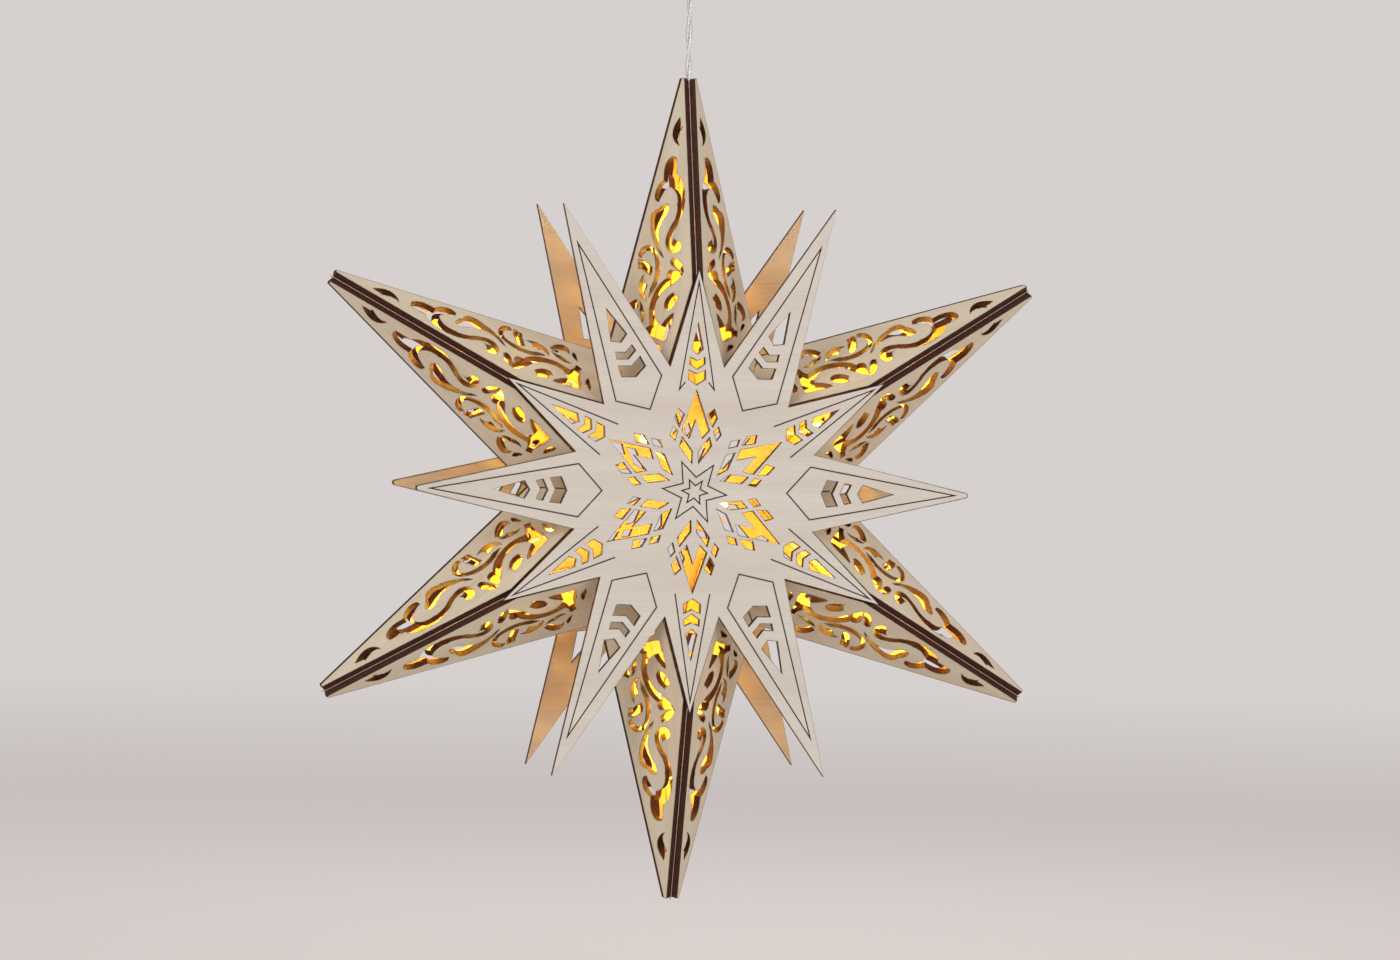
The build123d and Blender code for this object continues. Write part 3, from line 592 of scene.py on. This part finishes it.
@dataclass
class Studio:
    """The camera, the soft lights and the floor."""

    centre: np.ndarray
    distance: float = 3.30
    azimuth: float = -12.0
    elevation: float = 2.0
    roll: float = 1.25
    lens_mm: float = 161.845714
    shift: tuple[float, float] = (0.014857143, 0.006428571)
    sight: float = 60.0
    floor_below: float = 0.42
    floor_reach: float = 5.0
    floor_lines: int = 25
    floor_solid_to: float = 1.6
    floor_gone_at: float = 4.8
    floor_colour: tuple[float, float, float] = (0.66, 0.635, 0.63)
    sky_colour: tuple[float, float, float] = (0.82, 0.77, 0.76)
    sky_strength: float = 0.82

    def build(self) -> None:
        """Makes the camera, the lights, the world and the floor."""
        self.camera()
        self.lights()
        self.world()
        self.floor()

    def camera(self) -> None:
        """Stands the camera to the left of the star, a little above it, and rolls it."""
        azimuth, elevation = math.radians(self.azimuth), math.radians(self.elevation)
        back = Vector((
            math.sin(azimuth) * math.cos(elevation),
            -math.cos(azimuth) * math.cos(elevation),
            math.sin(elevation),
        ))
        lens = bpy.data.cameras.new("camera")
        lens.sensor_width = SENSOR_MM
        lens.lens = self.lens_mm
        lens.shift_x, lens.shift_y = self.shift
        lens.clip_end = self.sight
        stand = bpy.data.objects.new("camera", lens)
        stand.rotation_mode = "QUATERNION"
        stand.location = Vector(self.centre) + back * self.distance
        turn = Quaternion((0, 0, 1), math.radians(self.roll))
        stand.rotation_quaternion = (-back).to_track_quat("-Z", "Y") @ turn
        bpy.context.collection.objects.link(stand)
        bpy.context.scene.camera = stand

    def lights(self) -> None:
        """Four big soft lamps: a key from the upper left, a fill, a low bounce and a rim."""
        rig = (
            ("key", (-1.7, -1.9, 1.5), 1.3, 21.0, (1.0, 0.965, 0.93)),
            ("fill", (1.6, -1.9, -0.1), 1.8, 18.0, (1.0, 0.95, 0.92)),
            ("bounce", (-1.5, -1.9, -0.3), 1.4, 5.0, (1.0, 0.95, 0.90)),
            ("rim", (0.6, 2.1, 1.3), 1.4, 16.0, (1.0, 0.93, 0.88)),
        )
        for name, offset, size, power, colour in rig:
            lamp = bpy.data.lights.new(name, "AREA")
            lamp.shape = "DISK"
            lamp.size = size
            lamp.energy = power
            lamp.color = colour
            stand = bpy.data.objects.new(name, lamp)
            stand.location = Vector(self.centre) + Vector(offset)
            stand.rotation_euler = (-Vector(offset)).to_track_quat("-Z", "Y").to_euler()
            bpy.context.collection.objects.link(stand)

    def world(self) -> None:
        """An even, pale surrounding, shown with a plain view transform."""
        world = bpy.data.worlds.new("studio")
        world.use_nodes = True
        sky = world.node_tree.nodes["Background"]
        sky.inputs["Color"].default_value = (*self.sky_colour, 1.0)
        sky.inputs["Strength"].default_value = self.sky_strength
        bpy.context.scene.world = world
        bpy.context.scene.view_settings.view_transform = "Standard"

    def floor(self) -> None:
        """A level floor below the star: a square grid whose heights are all the same."""
        line = np.linspace(-self.floor_reach, self.floor_reach, self.floor_lines)
        x, y = np.meshgrid(line, line, indexing="ij")
        grid = np.stack((x, y, np.full_like(x, self.centre[2] - self.floor_below)), axis=2)
        mesh = mesh_from_grid("floor", grid, False)
        matt = StudioFloor("pale_floor", self.floor_colour, self.floor_solid_to, self.floor_gone_at)
        mesh.materials.append(matt.make())
        floor = bpy.data.objects.new("floor", mesh)
        bpy.context.collection.objects.link(floor)


# ---- the lead -----------------------------------------------------------------------


@dataclass
class TwistedLead:
    """Two clear wires twisted together, from the knot in the tip up to the battery box."""

    diameter: float = 3.4 * MM
    pitch: float = 37.0 * MM
    strand_radius: float = 0.86 * MM
    copper_radius: float = 0.46 * MM
    start_turn: float = 0.9
    knot_points: int = 120
    boot_top: float = 4.5 * MM
    boot_bottom: float = 2.5 * MM
    boot_ribs: int = 5
    rib_depth: float = 0.55 * MM
    ribs_from: float = 0.18
    ribs_span: float = 0.74
    route: list[tuple[float, float, float]] = field(default_factory=list)

    def build(self) -> None:
        """Makes the lead, its strands, its knot and its strain relief."""
        low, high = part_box("lead")
        self.route = [(0, 0, low.z), (0, 0, (low.z + high.z) / 2), (0, 0, high.z)]
        line = self.centreline()
        skin = Clear("clear_insulation", (0.93, 0.94, 0.95), 0.08, 0.86).make()
        metal = Metal("tinned_strands", (0.88, 0.88, 0.87), 0.18).make()
        wires = [self.strand(line, side, self.strand_radius, 14) for side in (0, math.pi)]
        lead = place(join("twisted_lead", wires), "twisted_lead", Body.BOX, skin, ("lead",))
        cores = [self.strand(line, side, self.copper_radius, 8) for side in (0, math.pi)]
        core = place(join("lead_cores", cores), "lead_cores", Body.BOX, metal)
        knot = self.knot(skin)
        boot = self.boot()

    def centreline(self) -> np.ndarray:
        """Points along the route's smooth line, an order-3 spline through its ends.

        Returns:
            The points, from the knot up.
        """
        curve = bpy.data.curves.new("lead_route", "CURVE")
        curve.dimensions = "3D"
        spline = curve.splines.new("NURBS")
        spline.points.add(len(self.route) - 1)
        for point, place_of in zip(spline.points, self.route):
            point.co = (*place_of, 1.0)
        spline.order_u = 3
        spline.use_endpoint_u = True
        spline.resolution_u = 48
        holder = bpy.data.objects.new("lead_route", curve)
        line = bpy.data.meshes.new_from_object(holder)
        points = np.empty(len(line.vertices) * 3)
        line.vertices.foreach_get("co", points)
        bpy.data.objects.remove(holder)
        bpy.data.curves.remove(curve)
        bpy.data.meshes.remove(line)
        return points.reshape(-1, 3)

    def strand(self, line: np.ndarray, side: float, radius: float, sides: int) -> bpy.types.Mesh:
        """One wire: the centreline plus a circle that turns once in each pitch.

        Args:
            line: The lead's centreline.
            side: The strand's own angle about it.
            radius: The wire's radius.
            sides: Points round the wire.

        Returns:
            The wire's mesh.
        """
        step = np.linalg.norm(np.diff(line, axis=0), axis=1)
        run = np.concatenate(([0.0], np.cumsum(step)))
        turn = side + self.start_turn + 2 * math.pi * run / self.pitch
        first, second = frames_along(line)
        offset = self.diameter / 2 - self.strand_radius
        path = line + offset * (np.cos(turn)[:, None] * first + np.sin(turn)[:, None] * second)
        return tube("strand", path, radius, sides)

    def knot(self, skin: bpy.types.Material) -> bpy.types.Object:
        """The overhand knot: a trefoil, (sin t + 2 sin 2t, cos t - 2 cos 2t, -1.6 sin 3t).

        Args:
            skin: The wires' material.

        Returns:
            The knot's object.
        """
        t = np.linspace(0, 2 * math.pi, self.knot_points, endpoint=False)
        across = np.sin(t) + 2 * np.sin(2 * t)
        deep = np.cos(t) - 2 * np.cos(2 * t)
        loop = np.stack((across, deep, -1.6 * np.sin(3 * t)), axis=1)
        low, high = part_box("lead_knot")
        room = (high - low).z / 2 - self.strand_radius
        path = loop * (room / np.linalg.norm(loop, axis=1).max()) + middle_of("lead_knot")
        closed = np.vstack((path, path[:1]))
        mesh = tube("knot", closed, self.strand_radius, 12)
        return place(mesh, "overhand_knot", Body.BOX, skin, ("lead_knot",))

    def boot(self) -> bpy.types.Object:
        """The strain relief: a tapered sleeve with five soft ribs.

        Returns:
            The sleeve's object.
        """
        low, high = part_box("strain_relief")
        share = np.linspace(0, 1, 90)
        taper = self.boot_top + (self.boot_bottom - self.boot_top) * share
        along = np.clip((share - self.ribs_from) / self.ribs_span, 0, 1)
        ribs = 0.5 * (1 - np.cos(2 * math.pi * along * self.boot_ribs))
        profile = np.stack((taper - self.rib_depth * ribs, -share * (high - low).z), axis=1)
        mesh = lathe("strain_relief", profile, np.array((0, 0, high.z)))
        skin = Clear("soft_clear_plastic", (0.90, 0.90, 0.88), 0.3, 0.35).make()
        return place(mesh, "strain_relief_boot", Body.BOX, skin, ("strain_relief",))


# ---- the wooden star ----------------------------------------------------------------


@dataclass
class CutSheet:
    """One laser-cut sheet, made from its node, with what its finish needs to know."""

    node: str
    centre: np.ndarray
    number: int
    halo: float = 0.68 * MM
    level: float = 0.02 * MM
    parallel: float = 0.999
    engraving: float = 0.8 * MM
    engraving_soot: float = 0.25
    grain_step: tuple[float, float] = (0.61, 0.37)

    def build(self, finish: bpy.types.Material, slot: str, along: np.ndarray) -> None:
        """Makes the sheet's piece.

        Args:
            finish: The plywood.
            slot: Not used.
            along: A direction that the grain runs near.
        """
        mesh = self.merged()
        normal = self.normal(mesh)
        self.rim(mesh, normal)
        self.mark(mesh, normal, along)
        mesh.shade_flat()
        place(mesh, self.node + "_wood", Body.STAR, finish, (self.node,))

    def merged(self) -> bpy.types.Mesh:
        """A copy of the node's mesh with its loose triangles joined."""
        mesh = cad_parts[self.node].data.copy()
        mesh.name = self.node + "_wood"
        shape = bmesh.new()
        shape.from_mesh(mesh)
        bmesh.ops.remove_doubles(shape, verts=shape.verts, dist=1e-6)
        shape.to_mesh(mesh)
        shape.free()
        return mesh

    def normal(self, mesh: bpy.types.Mesh) -> np.ndarray:
        """The sheet's outward normal: that of its largest triangle, away from the centre."""
        count = len(mesh.polygons)
        area, normals, middles = np.empty(count), np.empty(count * 3), np.empty(count * 3)
        mesh.polygons.foreach_get("area", area)
        mesh.polygons.foreach_get("normal", normals)
        mesh.polygons.foreach_get("center", middles)
        largest = int(area.argmax())
        normal = normals.reshape(-1, 3)[largest]
        outward = middles.reshape(-1, 3)[largest] - self.centre
        return normal * np.sign(normal @ outward)

    def is_sheet(self, normals: np.ndarray, middles: np.ndarray, points: np.ndarray,
                 normal: np.ndarray) -> np.ndarray:
        """Which faces lie in the sheet's outer or inner plane.

        Args:
            normals: The faces' normals.
            middles: The faces' middles.
            points: The vertices.
            normal: The sheet's outward normal.

        Returns:
            A truth value for each face.
        """
        depth = middles @ normal
        low, high = (points @ normal).min(), (points @ normal).max()
        flat = np.abs(normals @ normal) > self.parallel
        return flat & ((depth > high - self.level) | (depth < low + self.level))

    def rim(self, mesh: bpy.types.Mesh, normal: np.ndarray) -> None:
        """Insets the sheet's faces, which leaves a thin rim beside each cut for the soot.

        Args:
            mesh: The mesh to change.
            normal: The sheet's outward normal.
        """
        shape = bmesh.new()
        shape.from_mesh(mesh)
        shape.faces.ensure_lookup_table()
        normals = np.array([face.normal[:] for face in shape.faces])
        middles = np.array([face.calc_center_median()[:] for face in shape.faces])
        points = np.array([vertex.co[:] for vertex in shape.verts])
        chosen = np.flatnonzero(self.is_sheet(normals, middles, points, normal))
        faces = [shape.faces[i] for i in chosen]
        bmesh.ops.inset_region(
            shape, faces=faces, thickness=self.halo, use_boundary=True, use_even_offset=False,
        )
        shape.to_mesh(mesh)
        shape.free()

    def mark(self, mesh: bpy.types.Mesh, normal: np.ndarray, along: np.ndarray) -> None:
        """Writes the attributes cut, soot, layer and the mask of inner faces that get painted glow and
        shade, and the UV map "sheet".

        Cut is 1 on every face off the two sheet planes. Soot is 1 on their vertices, or a
        share of it where the cut is only engraved. Layer is the share of the thickness, and
        the inner-face mask is 1 on faces that look inwards, where the finish paints the warm
        glow of the LEDs and the shade inside the star. The map is each corner's distance along the
        grain and across it, with an offset that gives each sheet its own stretch of grain.

        Args:
            mesh: The mesh to mark.
            normal: The sheet's outward normal.
            along: A direction that the grain runs near.
        """
        count = len(mesh.polygons)
        normals, middles = np.empty(count * 3), np.empty(count * 3)
        mesh.polygons.foreach_get("normal", normals)
        mesh.polygons.foreach_get("center", middles)
        points = np.empty(len(mesh.vertices) * 3)
        mesh.vertices.foreach_get("co", points)
        corners, sizes = np.empty(len(mesh.loops), int), np.empty(count, int)
        mesh.loops.foreach_get("vertex_index", corners)
        mesh.polygons.foreach_get("loop_total", sizes)
        normals, middles, points = (a.reshape(-1, 3) for a in (normals, middles, points))
        cut = (~self.is_sheet(normals, middles, points, normal)).astype(np.float32)
        depth = points @ normal
        shallow = middles @ normal > depth.max() - self.engraving
        burnt = cut * np.where(shallow, self.engraving_soot, 1.0)
        soot = np.zeros(len(points))
        np.maximum.at(soot, corners, np.repeat(burnt, sizes))
        layer = (depth - depth.min()) / (depth.max() - depth.min())
        # 1 on inner faces; the finish paints these with the glow and shade colour.
        lining = (normals @ normal < -0.5).astype(np.float32)
        for name, domain, values in (
            ("cut", "FACE", cut),
            ("soot", "POINT", soot),
            ("layer", "POINT", layer),
            ("lining", "FACE", lining),
        ):
            attribute = mesh.attributes.new(name, "FLOAT", domain)
            attribute.data.foreach_set("value", values.astype(np.float32))
        u_axis = along - normal * (along @ normal)
        u_axis /= np.linalg.norm(u_axis)
        v_axis = np.cross(normal, u_axis)
        step_u, step_v = (self.number * step for step in self.grain_step)
        map_points = np.stack((points @ u_axis + step_u, points @ v_axis + step_v), axis=1)
        for old_map in list(mesh.uv_layers):
            mesh.uv_layers.remove(old_map)
        sheet_map = mesh.uv_layers.new(name="sheet")
        sheet_map.data.foreach_set("uv", map_points[corners].reshape(-1).astype(np.float32))


@dataclass
class WoodenStar:
    """The panels, the snowflakes and the glue between the panels."""

    centre: np.ndarray
    glue_radius: float = 0.17 * MM
    glue_wobble: float = 0.04 * MM
    near: float = 1 * MM

    def build(self) -> None:
        """Makes every wooden piece and the glue."""
        panel_ply = Plywood(
            "panel_plywood",
            pale=(0.66, 0.595, 0.46),
            warm=(0.60, 0.51, 0.375),
            streak=(0.44, 0.33, 0.20),
            # Inner faces of the panels: saturated orange, painted warm LED glow.
            lining=(0.80, 0.52, 0.12),
        ).make()
        flake_ply = Plywood(
            "snowflake_plywood",
            pale=(0.67, 0.64, 0.58),
            warm=(0.62, 0.575, 0.50),
            streak=(0.53, 0.455, 0.36),
            # Inner faces of the snowflakes: darker tan, painted shade with a little LED glow.
            lining=(0.46, 0.32, 0.18),
        ).make()
        number = 0
        for spike in Spike:
            for facing in Facing:
                for side in ("left", "right"):
                    number += 1
                    node = f"panel_{spike.name.lower()}_{facing.name.lower()}_{side}"
                    CutSheet(node, self.centre, number).build(panel_ply, "panel_plywood", spike.out())
        for facing in Facing:
            number += 1
            node = f"snowflake_{facing.name.lower()}"
            sheet = CutSheet(node, self.centre, number)
            sheet.build(flake_ply, "snowflake_plywood", np.array((1.0, 0.0, 0.0)))
        self.glue()

    def glue(self) -> None:
        """The beads along the ridges: thin tubes whose line sways a little in the groove."""
        meshes = []
        for i, (start, end) in enumerate(self.ridge_ends()):
            share = np.linspace(0, 1, 60)[:, None]
            path = start + (end - start) * share
            sway = self.glue_wobble * np.sin(37 * share + 1.7 * i) * np.cos(11 * share + i)
            meshes.append(tube("bead", path + sway * np.array((0.0, 1.0, 0.0)), self.glue_radius, 8))
        glue = Clear("clear_glue", (0.72, 0.52, 0.46), 0.2, 0.25).make()
        place(join("ridge_beads", meshes), "ridge_beads", Body.STAR, glue, ("ridge_glue",))

    def ridge_ends(self) -> list[tuple[np.ndarray, np.ndarray]]:
        """The two ends of each ridge's bead, read from the node.

        A bead lies in the plane of a spike's axis and Y, so its vertices are those near
        that plane on one side in Y. Its ends are its points nearest to the star's centre
        and farthest from it.

        Returns:
            One pair of points for each ridge.
        """
        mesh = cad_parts["ridge_glue"].data
        points = np.empty(len(mesh.vertices) * 3)
        mesh.vertices.foreach_get("co", points)
        points = points.reshape(-1, 3) - self.centre
        ends = []
        for spike in Spike:
            out = spike.out()
            across = np.array((-out[2], 0.0, out[0]))
            for facing in Facing:
                near = (np.abs(points @ across) < self.near) & (points @ out > 0)
                bead = points[near & (points[:, 1] * facing.value > 0)]
                reach = bead @ out
                inner = bead[reach < reach.min() + self.near].mean(axis=0)
                outer = bead[reach > reach.max() - self.near].mean(axis=0)
                ends.append((inner + self.centre, outer + self.centre))
        return ends


# ---- the light inside ---------------------------------------------------------------


@dataclass
class LedString:
    """The lit LEDs, their wire and sleeves, and the light that they give.

    Besides a lamp at each LED, soft lamps along each spike stand for the light that the wood
    scatters inside the star. Each is a distance from the star's centre and a power in watts.
    """

    centre: np.ndarray
    bulb_reach: float = 12 * MM
    lamp_before: float = 6 * MM
    led_size: float = 1.5 * MM
    spread_size: float = 5 * MM
    led_power: float = 0.07
    led_colour: tuple[float, float, float] = (1.0, 0.60, 0.10)
    spread_colour: tuple[float, float, float] = (1.0, 0.60, 0.09)
    spread: tuple[tuple[float, float], ...] = ((60 * MM, 0.007), (108 * MM, 0.15), (140 * MM, 0.06))

    def build(self) -> None:
        """Dresses the string and lights it."""
        dress("led_bulbs", LedGlow("warm_led").make())
        dress("led_wire", Clear("string_insulation", (0.88, 0.88, 0.86), 0.15, 0.5).make())
        dress("led_sleeves", Clear("shrink_sleeve", (0.90, 0.88, 0.82), 0.2, 0.6).make())
        for i, bulb in enumerate(solids_of("led_bulbs", self.bulb_reach)):
            spot = bulb.mean(axis=0) - np.array((0, self.lamp_before, 0))
            self.lamp(f"led_light_{i}", spot, self.led_power, self.led_colour, self.led_size)
        for spike in Spike:
            for reach, power in self.spread:
                spot = self.centre + spike.out() * reach
                name = f"glow_{spike.name.lower()}_{reach * 1000:.0f}"
                self.lamp(name, spot, power, self.spread_colour, self.spread_size)

    def lamp(self, name: str, spot: np.ndarray, power: float, colour: tuple[float, float, float],
             radius: float) -> None:
        """Adds one warm point light that rides on the star.

        Args:
            name: The light's name.
            spot: Where it is.
            power: In watts.
            colour: The light's colour.
            radius: Its size, which softens its shadows.
        """
        light = bpy.data.lights.new(name, "POINT")
        light.energy = power
        light.color = colour
        light.shadow_soft_size = radius
        stand = bpy.data.objects.new(name, light)
        stand.location = Vector(spot)
        stand.visible_camera = False
        bpy.context.collection.objects.link(stand)
        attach(stand, Body.STAR.value)


# ---- the battery box ----------------------------------------------------------------


def dress(node: str, finish: bpy.types.Material) -> None:
    """Gives a node's surfaces a finish.

    Args:
        node: The node's name.
        finish: The material.
    """
    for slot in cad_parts[node].material_slots:
        slot.material = finish
    log.info("%s: dressed", node)


@dataclass
class BatteryBox:
    """The battery box, its cells, contacts and switch."""

    coil_turns: float = 4.5
    coil_taper: float = 0.45
    coil_reach: float = 9.5 * MM
    wire_radius: float = 0.3 * MM

    def build(self) -> None:
        """Dresses the box's pieces and winds the springs."""
        shell = Moulded("white_box_plastic", (0.82, 0.81, 0.77)).make()
        dress("battery_case", shell)
        dress("battery_cover", shell)
        black = Moulded("black_switch_plastic", (0.02, 0.02, 0.022), 0.4).make()
        dress("switch_body", black)
        dress("switch_knob", black)
        low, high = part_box("battery_cells")
        dress("battery_cells", CellWrap("cell_sleeve", top=high.z, bottom=low.z).make())
        plate = Metal("nickel_plate", (0.80, 0.79, 0.76)).make()
        dress("contact_plates", plate)
        dress("resistor", Moulded("resistor_paint", (0.60, 0.42, 0.22), 0.35).make())
        self.springs(plate)

    def springs(self, metal: bpy.types.Material) -> None:
        """The contact springs: helices whose radius shrinks evenly as they climb.

        Args:
            metal: The springs' material.
        """
        coils = []
        for solid in solids_of("cell_springs", self.coil_reach):
            low, high = solid.min(axis=0), solid.max(axis=0)
            middle = (low + high) / 2
            wide = (high - low)[0] / 2 - self.wire_radius
            share = np.linspace(0, 1, 150)
            turn = 2 * math.pi * self.coil_turns * share
            radius = wide * (1 - self.coil_taper * share)
            climb = low[2] + self.wire_radius + share * (high[2] - low[2] - 2 * self.wire_radius)
            x, y = middle[0] + radius * np.cos(turn), middle[1] + radius * np.sin(turn)
            path = np.stack((x, y, climb), axis=1)
            coils.append(tube("coil", path, self.wire_radius, 8))
        joined = join("contact_coils", coils)
        place(joined, "contact_coils", Body.BOX, metal, ("cell_springs",))


def main() -> None:
    """Builds the scene: camera first, then the lead, the star, the light and the box."""
    logging.basicConfig(level=logging.INFO, format="%(name)s: %(message)s")
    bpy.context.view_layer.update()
    centre = star_centre()
    Studio(centre).build()
    TwistedLead().build()
    WoodenStar(centre).build()
    LedString(centre).build()
    BatteryBox().build()


if __name__ == "__main__":
    main()
